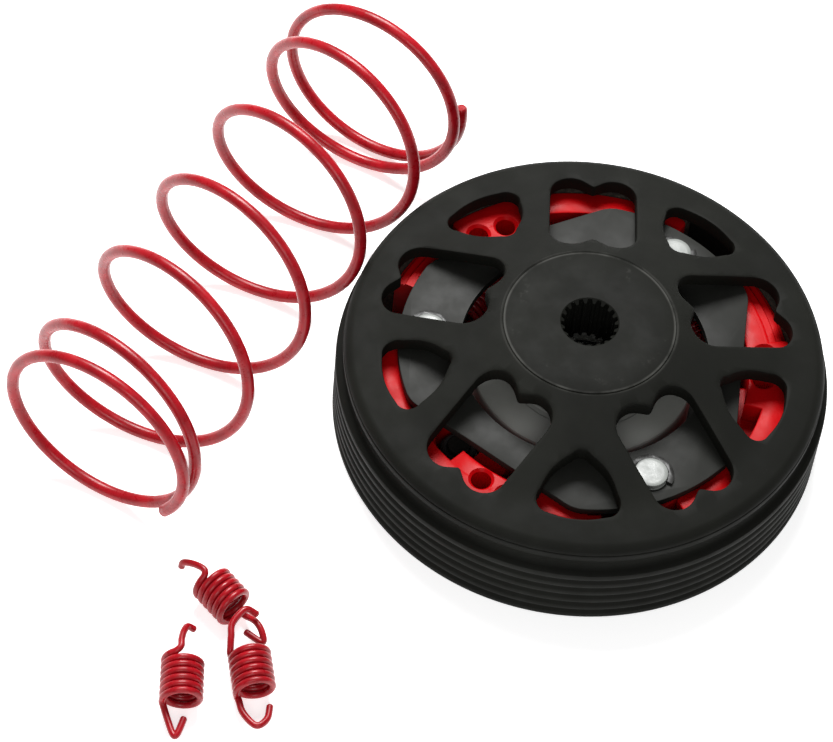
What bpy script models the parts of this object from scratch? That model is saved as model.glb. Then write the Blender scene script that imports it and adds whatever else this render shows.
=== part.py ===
"""Scooter clutch kit: clutch bell over a three-shoe centrifugal clutch, with a torque spring
and three small clutch springs lying beside it.

The bell stands open side down on the floor, closed face up, and hides the clutch.
Frame: metres, +Z up, the floor at z = 0, the origin under the middle of the whole set.
The torque spring lies along Y on the -X side of the bell.
"""

import math

import bmesh
import bpy
from mathutils import Matrix, Vector

MM = 0.001
TOUCH = 0.3 * MM

# Bell axis on the floor. Every place below is measured from it.
BELL_AXIS = (28.35 * MM, 40.5056 * MM)

# Clutch bell
BELL_R = 67.0 * MM
DRUM_BORE_R = 62.5 * MM
DRUM_TOP_Z = 20.0 * MM
NECK_R = 64.4 * MM
SHOULDER_R = 65.2 * MM
SHOULDER_Z = 27.2 * MM
FACE_EDGE_R = 62.6 * MM
FACE_EDGE_Z = 29.7 * MM
FACE_KNEE_R = 53.4 * MM
FACE_KNEE_Z = 31.3 * MM
FACE_WALL = 4.2 * MM
HUB_R = 23.05 * MM
HUB_Z = 41.3 * MM
GROOVES = 5
GROOVE_PITCH = 3.6 * MM
GROOVE_LOW_Z = 2.9 * MM
GROOVE_DEPTH = 0.8 * MM
GROOVE_HALF = 0.8 * MM
BELL_SEGMENTS = 60

# Openings in the bell's face: five bars with heart-shaped ends and five shields, in turn
OPENINGS_EACH = 5
HEART_AZIMUTH = math.radians(116.65)
HEART_OUT_CUSP = 53.4 * MM
HEART_OUT_LOBE = (50.5 * MM, 6.0 * MM, 5.9 * MM)
HEART_IN_CUSP = 29.9 * MM
HEART_IN_LOBE = (32.7 * MM, 6.1 * MM, 5.8 * MM)
SHIELD_CORNER = (50.9 * MM, 7.3 * MM, 3.7 * MM)
SHIELD_TIP = (41.0 * MM, 0.0, 3.1 * MM)
SHIELD_CROWN_R = 22.0 * MM
SHIELD_OUTER = 55.9 * MM
SHIELD_BULGE = 1.2 * MM

# Splined hub
HUB_DISC_Z = 36.8 * MM
HUB_BOSS_R = 12.5 * MM
HUB_BOSS_Z = 25.5 * MM
SPLINE_TEETH = 19
SPLINE_ROOT_R = 7.75 * MM
SPLINE_TIP_R = 6.9 * MM
SPLINE_SHAPE = ((0.0, SPLINE_ROOT_R), (0.45, SPLINE_ROOT_R), (0.6, SPLINE_TIP_R), (0.85, SPLINE_TIP_R))

# Clutch base: drive plate with a raised centre, three pivot pins and a side plate on top
SETS = 3
PIN_AZIMUTH = math.radians(83.3)
PIN_CIRCLE_R = 42.5 * MM
PIN_R = 4.5 * MM
PIN_NECK_R = 3.7 * MM
PIN_NECK_Z = (27.4 * MM, 28.4 * MM)
PIN_TOP_Z = 29.0 * MM
PIN_BREAK = 0.35 * MM
PLATE_R = 58.0 * MM
PLATE_THICK = 3.0 * MM
DISH_R = 30.6 * MM
DISH_WALL = 2.5 * MM
DISH_TOP_Z = 23.4 * MM
DISH_BREAK = 1.0 * MM
SHAFT_HOLE_R = 8.6 * MM
SIDE_PLATE_Z = (24.7 * MM, 27.2 * MM)
SIDE_PLATE_R = 50.5 * MM
SIDE_PLATE_FLAT = 42.7 * MM
SIDE_PLATE_CORNER = 9.0 * MM
SIDE_PLATE_HOLE_R = 34.0 * MM
CLIP_R = (4.0 * MM, 6.2 * MM)
CLIP_Z = (27.5 * MM, 28.1 * MM)
CLIP_MOUTH = math.radians(70)

# Shoes, measured from their own pivot pin: angle zero is at the pin, outward
SHOE_R = 56.9 * MM
SHOE_RIM_R = 49.8 * MM
SHOE_Z = (4.0 * MM, 24.0 * MM)
SHOE_HEEL = math.radians(5)
SHOE_TOE = math.radians(101)
PAD_R = 45.0 * MM
PAD_SPAN = (math.radians(50.5), math.radians(97))
WEB_R = 33.8 * MM
WEB_Z = (6.0 * MM, 16.5 * MM)
WEB_SPAN = (math.radians(4), math.radians(64))
LEDGE_R = 37.6 * MM
LEDGE_Z = 9.0 * MM
LEDGE_SPAN = (math.radians(60), math.radians(73))
BOSS_R = 8.6 * MM
POST_R = 1.4 * MM
POST_TOP_Z = 17.5 * MM
TOE_POST = (40.0 * MM, math.radians(70))
HEEL_POST = (38.0 * MM, math.radians(-17))
HEEL_TAB_R = (34.6 * MM, 41.6 * MM)
HEEL_TAB_SPAN = (math.radians(-21), math.radians(-5))
RIM_HOLE_R = 2.75 * MM
RIM_HOLE_FLOOR = 14.0 * MM
RIM_HOLES = ((48.8 * MM, math.radians(62)), (49.7 * MM, math.radians(71.5)))
LINING_R = (57.2 * MM, 61.2 * MM)
LINING_Z = (5.0 * MM, 23.2 * MM)
LINING_SPAN = (math.radians(5.5), math.radians(100))

# Rubber dampers on posts of the drive plate
DAMPER_AT = (40.6 * MM, math.radians(42))
DAMPER_POST_R = 3.0 * MM
DAMPER_POST_Z = 15.0 * MM
DAMPER_R = 4.9 * MM
DAMPER_Z = (7.5 * MM, 14.0 * MM)
DAMPER_HOLE_R = 6.4 * MM

# Torque spring, lying along Y
TORQUE_WIRE_R = 1.7 * MM
TORQUE_COIL_R = 27.3 * MM
TORQUE_X = -94.7 * MM
TORQUE_START_Y = -95.65 * MM
TORQUE_LENGTH = 145.1 * MM
TORQUE_TURNS = 7.13
TORQUE_CLOSED_TURNS = (1.15, 1.25)
TORQUE_LEAN = 0.033
TORQUE_PHASE = 3.772

# Small clutch springs
SMALL_WIRE_R = 0.87 * MM
SMALL_COIL_R = 4.85 * MM
SMALL_PITCH = 1.96 * MM
SHOE_SPRING_Z = 13.6 * MM
SHOE_SPRING_TURNS = 6
SHOE_HOOK_BEND = 2.7 * MM

# Loose springs: place, heading, turns, where the coil starts, and each hook's bends.
# Millimetres; a bend is (beyond the coil, sideways, above the axis).
LOOSE_TURN = math.radians(25.52)
TIP_UP_HOOK = ((1.2, -0.9, 5.0), (3.4, -1.2, 4.7), (5.8, -2.0, 3.8), (7.7, -2.8, 2.4), (7.9, -3.2, 0.6))
CROOK_HOOK = ((1.2, -0.6, 5.0), (3.5, -0.5, 4.7), (6.5, 0.0, 3.9), (8.6, 0.9, 2.6), (8.8, 2.5, 1.0))
LINK_HOOK = ((1.2, 2.2, -4.0), (5.1, 2.2, -1.6), (8.4, 1.8, -1.6), (11.0, 0.2, -2.8), (6.0, -1.4, -2.6))
CATCH_HOOK = ((1.2, -4.7, 1.3), (4.0, -4.2, 2.2), (7.5, -3.4, 2.8), (11.0, 0.4, 3.2), (10.4, 3.4, 1.2))
WIDE_HOOK = ((1.4, -4.3, -1.6), (5.0, -3.6, -1.9), (9.0, -0.8, -1.9), (7.6, 2.2, -1.7), (4.0, 3.5, -1.5))
NARROW_HOOK = ((1.4, -4.4, -1.3), (4.6, -3.3, -1.9), (8.8, -1.7, -2.1), (8.6, -0.6, -1.9), (4.4, 0.9, -1.4))
LOOSE_SPRINGS = (
    ("loose_spring_a", (-89.0, -75.1), -44.3, 5.52, 2.0, TIP_UP_HOOK, LINK_HOOK),
    ("loose_spring_b", (-78.8, -97.2), -76.2, 6.05, math.pi, CATCH_HOOK, WIDE_HOOK),
    ("loose_spring_c", (-96.4, -102.0), -85.2, 6.18, 2.0, CROOK_HOOK, NARROW_HOOK),
)


def clear_scene():
    for existing in list(bpy.data.objects):
        bpy.data.objects.remove(existing, do_unlink=True)


def make_material(name, colour, roughness, metallic):
    material = bpy.data.materials.new(name)
    material.use_nodes = True
    shader = material.node_tree.nodes["Principled BSDF"]
    shader.inputs["Base Color"].default_value = (*colour, 1.0)
    shader.inputs["Roughness"].default_value = roughness
    shader.inputs["Metallic"].default_value = metallic
    return material


def polar(radius, angle):
    return radius * math.cos(angle), radius * math.sin(angle)


def mesh_from(vertices, faces):
    mesh = bpy.data.meshes.new("piece")
    shape = bmesh.new()
    points = [shape.verts.new(vertex) for vertex in vertices]
    for face in faces:
        shape.faces.new([points[index] for index in face])
    bmesh.ops.recalc_face_normals(shape, faces=shape.faces)
    shape.to_mesh(mesh)
    shape.free()
    mesh.shade_smooth()
    mesh.set_sharp_from_angle(angle=math.radians(35))
    return mesh


def place(name, mesh, material, location=(0, 0, 0), turn=0.0):
    piece = bpy.data.objects.new(name, mesh)
    bpy.context.scene.collection.objects.link(piece)
    piece.location = (BELL_AXIS[0] + location[0], BELL_AXIS[1] + location[1], location[2])
    piece.rotation_euler = (0, 0, turn)
    if material is not None:
        mesh.materials.clear()
        mesh.materials.append(material)
    return piece


def turned(profile, segments):
    """A closed profile of (radius, height) points turned about Z."""
    count = len(profile)
    vertices = []
    for step in range(segments):
        angle = 2 * math.pi * step / segments
        vertices += [(*polar(radius, angle), height) for radius, height in profile]
    faces = []
    for step in range(segments):
        here = step * count
        there = ((step + 1) % segments) * count
        for index in range(count):
            after = (index + 1) % count
            faces.append((here + index, there + index, there + after, here + after))
    return mesh_from(vertices, faces)


def stacked(levels):
    """A solid through flat outlines of as many points each, given as (outline, height)."""
    count = len(levels[0][0])
    vertices = [(x, y, height) for outline, height in levels for x, y in outline]
    faces = [tuple(range(count)), tuple(range(len(vertices) - count, len(vertices)))]
    for level in range(len(levels) - 1):
        low = level * count
        for index in range(count):
            after = (index + 1) % count
            faces.append((low + index, low + after, low + count + after, low + count + index))
    return mesh_from(vertices, faces)


def prism(outline, low, high):
    """A flat outline of (x, y) points between two heights."""
    return stacked([(outline, low), (outline, high)])


def circle(radius, segments, centre=(0.0, 0.0)):
    steps = [2 * math.pi * step / segments for step in range(segments)]
    return [(centre[0] + radius * math.cos(a), centre[1] + radius * math.sin(a)) for a in steps]


def sector(inner, outer, start, end, steps):
    """A ring sector about the axis, as an outline."""
    angles = [start + (end - start) * step / steps for step in range(steps + 1)]
    return [polar(outer, a) for a in angles] + [polar(inner, a) for a in reversed(angles)]


def swept(path, radius, sides):
    """A round wire along a path, with flat ends."""
    tangents = []
    for index in range(len(path)):
        before = path[max(index - 1, 0)]
        after = path[min(index + 1, len(path) - 1)]
        tangents.append((after - before).normalized())
    side = tangents[0].orthogonal().normalized()
    vertices = []
    for point, tangent in zip(path, tangents):
        side = (side - tangent * side.dot(tangent)).normalized()
        other = tangent.cross(side)
        for step in range(sides):
            angle = 2 * math.pi * step / sides
            vertices.append(point + radius * (math.cos(angle) * side + math.sin(angle) * other))
    faces = [tuple(range(sides)), tuple(range(len(vertices) - sides, len(vertices)))]
    for row in range(len(path) - 1):
        for step in range(sides):
            after = (step + 1) % sides
            low = row * sides
            faces.append((low + step, low + after, low + sides + after, low + sides + step))
    return mesh_from(vertices, faces)


def smooth_path(points, steps):
    """A Catmull-Rom curve through the points."""
    padded = [2 * points[0] - points[1]] + points + [2 * points[-1] - points[-2]]
    path = []
    for index in range(1, len(padded) - 2):
        p0, p1, p2, p3 = padded[index - 1 : index + 3]
        for step in range(steps):
            t = step / steps
            linear = (p2 - p0) * t
            square = (2 * p0 - 5 * p1 + 4 * p2 - p3) * t * t
            cube = (3 * p1 - p0 - 3 * p2 + p3) * t * t * t
            path.append(p1 + 0.5 * (linear + square + cube))
    path.append(points[-1])
    return path


def combine(base_mesh, joined=(), removed=()):
    """One solid: the base with other meshes joined to it, then others cut from it."""
    base = place("base_solid", base_mesh, None)
    helpers = [base]
    for operation, meshes in (("UNION", joined), ("DIFFERENCE", removed)):
        for mesh in meshes:
            helper = place("helper_solid", mesh, None)
            helper.hide_render = True
            helper.display_type = "WIRE"
            step = base.modifiers.new(operation.lower(), "BOOLEAN")
            step.operation = operation
            step.solver = "EXACT"
            step.object = helper
            helpers.append(helper)
    bpy.context.view_layer.update()
    graph = bpy.context.evaluated_depsgraph_get()
    result = bpy.data.meshes.new_from_object(base.evaluated_get(graph))
    for helper in helpers:
        bpy.data.objects.remove(helper, do_unlink=True)
    result.shade_smooth()
    result.set_sharp_from_angle(angle=math.radians(35))
    return result


def tangent_angle(lobe, cusp, side):
    """The angle on a lobe's circle where a line from the cusp on the centre line touches it."""
    centre_u, centre_v, radius = lobe
    reach = math.hypot(cusp - centre_u, centre_v)
    return math.atan2(-centre_v, cusp - centre_u) + side * math.acos(radius / reach)


def arc(lobe, start, end, steps):
    centre_u, centre_v, radius = lobe
    angles = [start + (end - start) * step / steps for step in range(steps + 1)]
    return [(centre_u + radius * math.cos(a), centre_v + radius * math.sin(a)) for a in angles]


def both_halves(half):
    """An outline from its upper half, whose first and last points lie on the centre line."""
    return half + [(u, -v) for u, v in reversed(half[1:-1])]


def heart_bar():
    """A radial slot whose two ends each have two round lobes with a cusp between them."""
    out_start = tangent_angle(HEART_OUT_LOBE, HEART_OUT_CUSP, 1)
    in_end = tangent_angle(HEART_IN_LOBE, HEART_IN_CUSP, -1) + 2 * math.pi
    half = [(HEART_OUT_CUSP, 0.0)]
    half += arc(HEART_OUT_LOBE, out_start, math.pi / 2, 6)
    half += arc(HEART_IN_LOBE, math.pi / 2, in_end, 6)
    half.append((HEART_IN_CUSP, 0.0))
    return both_halves(half)


def shield():
    """A rounded shield, wide and crowned outside, with its tip towards the hub."""
    corner_u, corner_v, corner_r = SHIELD_CORNER
    tip_u, tip_v, tip_r = SHIELD_TIP
    run = Vector((corner_u - tip_u, corner_v - tip_v))
    normal = math.atan2(run.y, run.x) + math.acos((tip_r - corner_r) / run.length)
    crown_u = SHIELD_OUTER - SHIELD_CROWN_R
    half = []
    for part in (0.0, 0.12, 0.23):
        half.append((crown_u + SHIELD_CROWN_R * math.cos(part), SHIELD_CROWN_R * math.sin(part)))
    half += arc(SHIELD_CORNER, math.radians(12), normal, 4)
    side_start = Vector(half[-1])
    side_end = Vector(arc(SHIELD_TIP, normal, math.pi, 1)[0])
    out = Vector((math.cos(normal), math.sin(normal)))
    for part in (0.33, 0.67):
        point = side_start.lerp(side_end, part) + out * SHIELD_BULGE * math.sin(math.pi * part)
        half.append(tuple(point))
    half += arc(SHIELD_TIP, normal, math.pi, 3)
    return both_halves(half)


def bell_profile():
    outer = [(BELL_R - 0.4 * MM, 0.0), (BELL_R, 0.4 * MM)]
    for index in range(GROOVES):
        height = GROOVE_LOW_Z + index * GROOVE_PITCH
        outer += [(BELL_R, height - GROOVE_HALF), (BELL_R - GROOVE_DEPTH, height)]
        outer.append((BELL_R, height + GROOVE_HALF))
    outer += [
        (BELL_R, DRUM_TOP_Z),
        (NECK_R, DRUM_TOP_Z + 1.4 * MM),
        (NECK_R, DRUM_TOP_Z + 4.2 * MM),
        (SHOULDER_R, SHOULDER_Z - 1.8 * MM),
        (SHOULDER_R, SHOULDER_Z),
        (FACE_EDGE_R + 1.4 * MM, FACE_EDGE_Z - 0.9 * MM),
        (FACE_EDGE_R, FACE_EDGE_Z),
        (FACE_KNEE_R, FACE_KNEE_Z),
        (HUB_R + TOUCH, HUB_Z),
    ]
    inner = [
        (HUB_R + TOUCH, HUB_Z - FACE_WALL),
        (FACE_KNEE_R, FACE_KNEE_Z - FACE_WALL),
        (DRUM_BORE_R - 3.0 * MM, FACE_EDGE_Z - FACE_WALL - 0.4 * MM),
        (DRUM_BORE_R, FACE_EDGE_Z - FACE_WALL - 3.0 * MM),
        (DRUM_BORE_R, 0.0),
    ]
    return outer + inner


def turned_outline(outline, angle):
    cosine, sine = math.cos(angle), math.sin(angle)
    return [(u * cosine - v * sine, u * sine + v * cosine) for u, v in outline]


def build_bell(material):
    openings = []
    for index in range(OPENINGS_EACH):
        azimuth = HEART_AZIMUTH + index * 2 * math.pi / OPENINGS_EACH
        half_step = math.pi / OPENINGS_EACH
        openings.append(prism(turned_outline(heart_bar(), azimuth), 20 * MM, 50 * MM))
        openings.append(prism(turned_outline(shield(), azimuth + half_step), 20 * MM, 50 * MM))
    shell = combine(turned(bell_profile(), BELL_SEGMENTS), removed=openings)
    place("clutch_bell", shell, material)


def build_hub(material):
    profile = [
        (2 * MM, HUB_Z),
        (2 * MM, HUB_BOSS_Z),
        (HUB_BOSS_R, HUB_BOSS_Z),
        (HUB_BOSS_R, HUB_DISC_Z),
        (HUB_R, HUB_DISC_Z),
        (HUB_R, HUB_Z),
    ]
    spline = []
    for tooth in range(SPLINE_TEETH):
        for part, radius in SPLINE_SHAPE:
            spline.append(polar(radius, 2 * math.pi * (tooth + part) / SPLINE_TEETH))
    bore = prism(spline, HUB_BOSS_Z - 5 * MM, HUB_Z + 5 * MM)
    place("bell_hub", combine(turned(profile, 40), removed=[bore]), material)


def set_angles():
    return [PIN_AZIMUTH + index * 2 * math.pi / SETS for index in range(SETS)]


def damper_centre(pin_angle):
    radius, angle = DAMPER_AT
    return polar(radius, pin_angle + angle)


def build_drive_plate(material):
    """A flat plate whose centre rises as a dish, with three damper posts standing on it."""
    profile = [
        (SHAFT_HOLE_R, DISH_TOP_Z),
        (SHAFT_HOLE_R, DISH_TOP_Z - DISH_WALL),
        (DISH_R - DISH_WALL, DISH_TOP_Z - DISH_WALL),
        (DISH_R - DISH_WALL, 0.0),
        (PLATE_R, 0.0),
        (PLATE_R, PLATE_THICK),
        (DISH_R, PLATE_THICK),
        (DISH_R, DISH_TOP_Z - DISH_BREAK),
        (DISH_R - DISH_BREAK, DISH_TOP_Z),
    ]
    posts = []
    holes = []
    for angle in set_angles():
        post = circle(DAMPER_POST_R, 12, damper_centre(angle))
        posts.append(prism(post, PLATE_THICK - 1 * MM, DAMPER_POST_Z))
        hole = circle(PIN_R + TOUCH, 20, polar(PIN_CIRCLE_R, angle))
        holes.append(prism(hole, -1 * MM, PLATE_THICK + 1 * MM))
    place("drive_plate", combine(turned(profile, 48), posts, holes), material)


def side_plate_outline():
    """A disc with three flats, its corners rounded where each flat meets the round."""
    corner_reach = SIDE_PLATE_R - SIDE_PLATE_CORNER
    corner_angle = math.acos((SIDE_PLATE_FLAT - SIDE_PLATE_CORNER) / corner_reach)
    outline = []
    for pin_angle in set_angles():
        flat = pin_angle + math.pi / SETS
        centre = polar(corner_reach, flat - corner_angle)
        for step in range(5):
            angle = (flat - corner_angle) + corner_angle * step / 4
            x, y = polar(SIDE_PLATE_CORNER, angle)
            outline.append((centre[0] + x, centre[1] + y))
        centre = polar(corner_reach, flat + corner_angle)
        for step in range(5):
            angle = flat + corner_angle * step / 4
            x, y = polar(SIDE_PLATE_CORNER, angle)
            outline.append((centre[0] + x, centre[1] + y))
        arc_start = flat + corner_angle
        arc_end = flat + 2 * math.pi / SETS - corner_angle
        for step in range(1, 5):
            outline.append(polar(SIDE_PLATE_R, arc_start + (arc_end - arc_start) * step / 5))
    return outline


def build_side_plate(material):
    low, high = SIDE_PLATE_Z
    holes = [prism(circle(SIDE_PLATE_HOLE_R, 48), low - 1 * MM, high + 1 * MM)]
    for angle in set_angles():
        hole = circle(PIN_R + TOUCH, 20, polar(PIN_CIRCLE_R, angle))
        holes.append(prism(hole, low - 1 * MM, high + 1 * MM))
    place("side_plate", combine(prism(side_plate_outline(), low, high), removed=holes), material)


def pin_mesh():
    profile = [
        (PIN_R, TOUCH),
        (PIN_R, PIN_NECK_Z[0]),
        (PIN_NECK_R, PIN_NECK_Z[0]),
        (PIN_NECK_R, PIN_NECK_Z[1]),
        (PIN_R, PIN_NECK_Z[1]),
        (PIN_R, PIN_TOP_Z - PIN_BREAK),
        (PIN_R - PIN_BREAK, PIN_TOP_Z),
    ]
    return stacked([(circle(radius, 20), height) for radius, height in profile])


def build_pins(pin_material, clip_material):
    """Pivot pins, each with a spring clip in its neck."""
    clip_start = CLIP_MOUTH / 2
    clip_end = 2 * math.pi - CLIP_MOUTH / 2
    clip_outline = sector(*CLIP_R, clip_start, clip_end, 14)
    for number, angle in enumerate(set_angles(), start=1):
        centre = (*polar(PIN_CIRCLE_R, angle), 0)
        place(f"pivot_pin_{number}", pin_mesh(), pin_material, centre)
        place(f"e_clip_{number}", prism(clip_outline, *CLIP_Z), clip_material, centre, angle)


def shoe_mesh():
    """A cast shoe in its pivot's frame: origin on the pin, +X outward, body towards +Y."""

    def shifted(outline):
        return [(x - PIN_CIRCLE_R, y) for x, y in outline]

    low, high = SHOE_Z
    rim = shifted(sector(SHOE_RIM_R, SHOE_R, SHOE_HEEL, SHOE_TOE, 20))
    web = shifted(sector(WEB_R, SHOE_RIM_R + 1 * MM, *WEB_SPAN, 10))
    ledge = shifted(sector(LEDGE_R, SHOE_RIM_R + 1 * MM, *LEDGE_SPAN, 3))
    pad = shifted(sector(PAD_R, SHOE_RIM_R + 1 * MM, *PAD_SPAN, 8))
    joined = [
        prism(circle(BOSS_R, 28), low, high),
        prism(web, *WEB_Z),
        prism(ledge, WEB_Z[0], LEDGE_Z),
        prism(pad, low + 1 * MM, high),
        prism(shifted(sector(*HEEL_TAB_R, *HEEL_TAB_SPAN, 4)), low, LEDGE_Z),
    ]
    for post in (TOE_POST, HEEL_POST):
        outline = shifted(circle(POST_R, 10, polar(*post)))
        joined.append(prism(outline, WEB_Z[0] + 1 * MM, POST_TOP_Z))
    removed = [
        prism(circle(PIN_R + TOUCH, 20), low - 1 * MM, high + 1 * MM),
        prism(shifted(circle(DAMPER_HOLE_R, 20, polar(*DAMPER_AT))), low - 1 * MM, high + 1 * MM),
    ]
    for spot in RIM_HOLES:
        outline = shifted(circle(RIM_HOLE_R, 14, polar(*spot)))
        removed.append(prism(outline, RIM_HOLE_FLOOR, high + 1 * MM))
    return combine(prism(rim, low, high), joined, removed)


def build_shoes(shoe_material, lining_material, rubber_material):
    shoe = shoe_mesh()
    lining_outline = sector(*LINING_R, *LINING_SPAN, 20)
    lining = prism([(x - PIN_CIRCLE_R, y) for x, y in lining_outline], *LINING_Z)
    ring_profile = [
        (DAMPER_POST_R + TOUCH, DAMPER_Z[0]),
        (DAMPER_R, DAMPER_Z[0]),
        (DAMPER_R, DAMPER_Z[1]),
        (DAMPER_POST_R + TOUCH, DAMPER_Z[1]),
    ]
    ring = turned(ring_profile, 16)
    for number, angle in enumerate(set_angles(), start=1):
        centre = (*polar(PIN_CIRCLE_R, angle), 0)
        place(f"shoe_{number}", shoe, shoe_material, centre, angle)
        place(f"lining_{number}", lining, lining_material, centre, angle)
        place(f"damper_{number}", ring, rubber_material, (*damper_centre(angle), 0))


def close_wound(turns, start_angle, near_hook, far_hook):
    """A close-wound spring along +X about its own middle, with a hook at each end.

    A hook is a list of (distance beyond the coil, y, z) points from the spring's axis.
    """
    steps_per_turn = 8
    count = round(turns * steps_per_turn)
    half_body = SMALL_PITCH * turns / 2
    body = []
    for step in range(count + 1):
        angle = start_angle + 2 * math.pi * turns * step / count
        body.append(Vector((-half_body + 2 * half_body * step / count, *polar(SMALL_COIL_R, angle))))
    near = [Vector((-half_body - out, y, z)) for out, y, z in near_hook]
    far = [Vector((half_body + out, y, z)) for out, y, z in far_hook]
    near_path = smooth_path([*reversed(near), body[0]], 2)[:-1]
    far_path = smooth_path([body[-1], *far], 2)[1:]
    return near_path + body + far_path


def post_hook(side, shank):
    """A hook round an upright post, leaving the top of the coil towards the given side."""
    bend = SHOE_HOOK_BEND
    points = [
        (0.25 * shank, side * 0.55 * bend, 0.75 * SMALL_COIL_R),
        (0.55 * shank, side * bend, 0.25 * SMALL_COIL_R),
    ]
    for step in range(5):
        swing = math.pi * step / 4
        points.append((shank + bend * math.sin(swing), side * bend * math.cos(swing), 0.0))
    points.append((shank - 1.0 * MM, -side * bend, 0.0))
    return points


def build_torque_spring(material):
    """A coil spring with closed ends, its turns spread evenly between them."""
    steps_per_turn = 20
    count = int(TORQUE_TURNS * steps_per_turn)
    closed_pitch = 2 * TORQUE_WIRE_R + 0.35 * MM
    blend = 0.14
    closed_near, closed_far = TORQUE_CLOSED_TURNS

    def open_share(turns):
        start = 1 / (1 + math.exp(-(turns - closed_near) / blend))
        end = 1 / (1 + math.exp(-((TORQUE_TURNS - turns) - closed_far) / blend))
        return start * end

    turns_at = [TORQUE_TURNS * step / count for step in range(count + 1)]
    shares = [open_share(turns) for turns in turns_at]
    per_step = TORQUE_TURNS / count
    opening = (TORQUE_LENGTH - closed_pitch * TORQUE_TURNS) / (sum(shares[1:]) * per_step)
    path = []
    along = 0.0
    for index, turns in enumerate(turns_at):
        if index:
            along += (closed_pitch + opening * shares[index]) * per_step
        angle = TORQUE_PHASE - 2 * math.pi * turns
        sideways, up = polar(TORQUE_COIL_R, angle)
        height = TORQUE_COIL_R + TORQUE_WIRE_R + up
        path.append(Vector((TORQUE_X - sideways, TORQUE_START_Y + along + TORQUE_LEAN * up, height)))
    place("torque_spring", swept(path, TORQUE_WIRE_R, 6), material)


def build_shoe_springs(material):
    """Springs that pull each shoe's toe towards the next shoe's heel."""
    for number, angle in enumerate(set_angles(), start=1):
        toe = Vector((*polar(TOE_POST[0], angle + TOE_POST[1]), SHOE_SPRING_Z))
        following = angle + 2 * math.pi / SETS
        heel = Vector((*polar(HEEL_POST[0], following + HEEL_POST[1]), SHOE_SPRING_Z))
        run = heel - toe
        shank = (run.length - SMALL_PITCH * SHOE_SPRING_TURNS) / 2
        hooks = (post_hook(1, shank), post_hook(-1, shank))
        path = close_wound(SHOE_SPRING_TURNS, math.pi / 2, *hooks)
        spin = Matrix.Rotation(math.atan2(run.y, run.x), 4, "Z")
        frame = Matrix.Translation((toe + heel) / 2) @ spin
        place(f"shoe_spring_{number}", swept([frame @ p for p in path], SMALL_WIRE_R, 5), material)


def build_loose_springs(material):
    """Three spare shoe springs on the floor, the first two hooked together."""
    for name, (x, y), azimuth, turns, start_angle, near_hook, far_hook in LOOSE_SPRINGS:
        near = [(out * MM, y_off * MM, z_off * MM) for out, y_off, z_off in near_hook]
        far = [(out * MM, y_off * MM, z_off * MM) for out, y_off, z_off in far_hook]
        path = close_wound(turns, start_angle, near, far)
        spot = Matrix.Translation((x * MM, y * MM, SMALL_COIL_R + SMALL_WIRE_R))
        spin = Matrix.Rotation(math.radians(azimuth), 4, "Z")
        frame = Matrix.Rotation(LOOSE_TURN, 4, "Z") @ spot @ spin
        place(name, swept([frame @ p for p in path], SMALL_WIRE_R, 5), material)


def build():
    clear_scene()
    black = make_material("matte_black_paint", (0.030, 0.031, 0.027), 0.62, 0.1)
    hub = make_material("black_hub_steel", (0.034, 0.035, 0.031), 0.5, 0.3)
    steel = make_material("dark_grey_steel", (0.07, 0.07, 0.068), 0.4, 0.6)
    bright = make_material("bright_steel", (0.85, 0.86, 0.87), 0.25, 0.9)
    clip = make_material("clip_steel", (0.25, 0.25, 0.24), 0.35, 0.9)
    red = make_material("gloss_red_paint", (0.62, 0.008, 0.014), 0.22, 0.0)
    spring_red = make_material("red_spring_coat", (0.52, 0.012, 0.02), 0.32, 0.15)
    lining = make_material("friction_lining", (0.05, 0.042, 0.036), 0.9, 0.0)
    rubber = make_material("black_rubber", (0.015, 0.015, 0.015), 0.8, 0.0)
    build_bell(black)
    build_hub(hub)
    build_drive_plate(steel)
    build_side_plate(steel)
    build_pins(bright, clip)
    build_shoes(red, lining, rubber)
    build_torque_spring(spring_red)
    build_shoe_springs(spring_red)
    build_loose_springs(spring_red)


build()
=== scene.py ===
"""Looks for the clutch bell, clutch and spring set: fine pieces and materials on the CAD frame."""

import math

import bmesh
import bpy
from mathutils import Matrix, Vector


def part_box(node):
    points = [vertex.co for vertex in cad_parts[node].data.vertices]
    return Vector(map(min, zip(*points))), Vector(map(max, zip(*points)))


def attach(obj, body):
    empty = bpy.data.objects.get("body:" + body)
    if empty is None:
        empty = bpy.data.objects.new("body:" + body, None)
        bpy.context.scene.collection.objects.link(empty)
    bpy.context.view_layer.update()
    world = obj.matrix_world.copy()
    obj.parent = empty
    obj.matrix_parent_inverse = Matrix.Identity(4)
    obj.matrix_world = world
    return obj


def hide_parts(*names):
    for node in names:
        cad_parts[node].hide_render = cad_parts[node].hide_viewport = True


MM = 0.001
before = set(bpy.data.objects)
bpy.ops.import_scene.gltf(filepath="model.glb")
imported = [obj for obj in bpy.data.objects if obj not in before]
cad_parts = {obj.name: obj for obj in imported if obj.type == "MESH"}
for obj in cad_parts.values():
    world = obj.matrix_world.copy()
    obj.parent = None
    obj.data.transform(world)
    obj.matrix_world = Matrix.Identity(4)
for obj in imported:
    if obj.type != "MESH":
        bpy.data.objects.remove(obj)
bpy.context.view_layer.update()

bell_low, bell_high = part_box("clutch_bell")
AXIS = (bell_low + bell_high) / 2
AXIS.z = 0.0
VIEW_TURN = math.radians(25.52)

# Camera, from the bell's axis, before the view is turned about it
CAMERA_AT = Vector((-44.58, -572.71, 822.57)) * MM
CAMERA_TILT = math.radians(35.18)
CAMERA_ROLL = math.radians(6.07)
LENS_MM = 156.97
SENSOR_MM = 36.0
CAMERA_CLIP = (0.05, 20.0)

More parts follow.
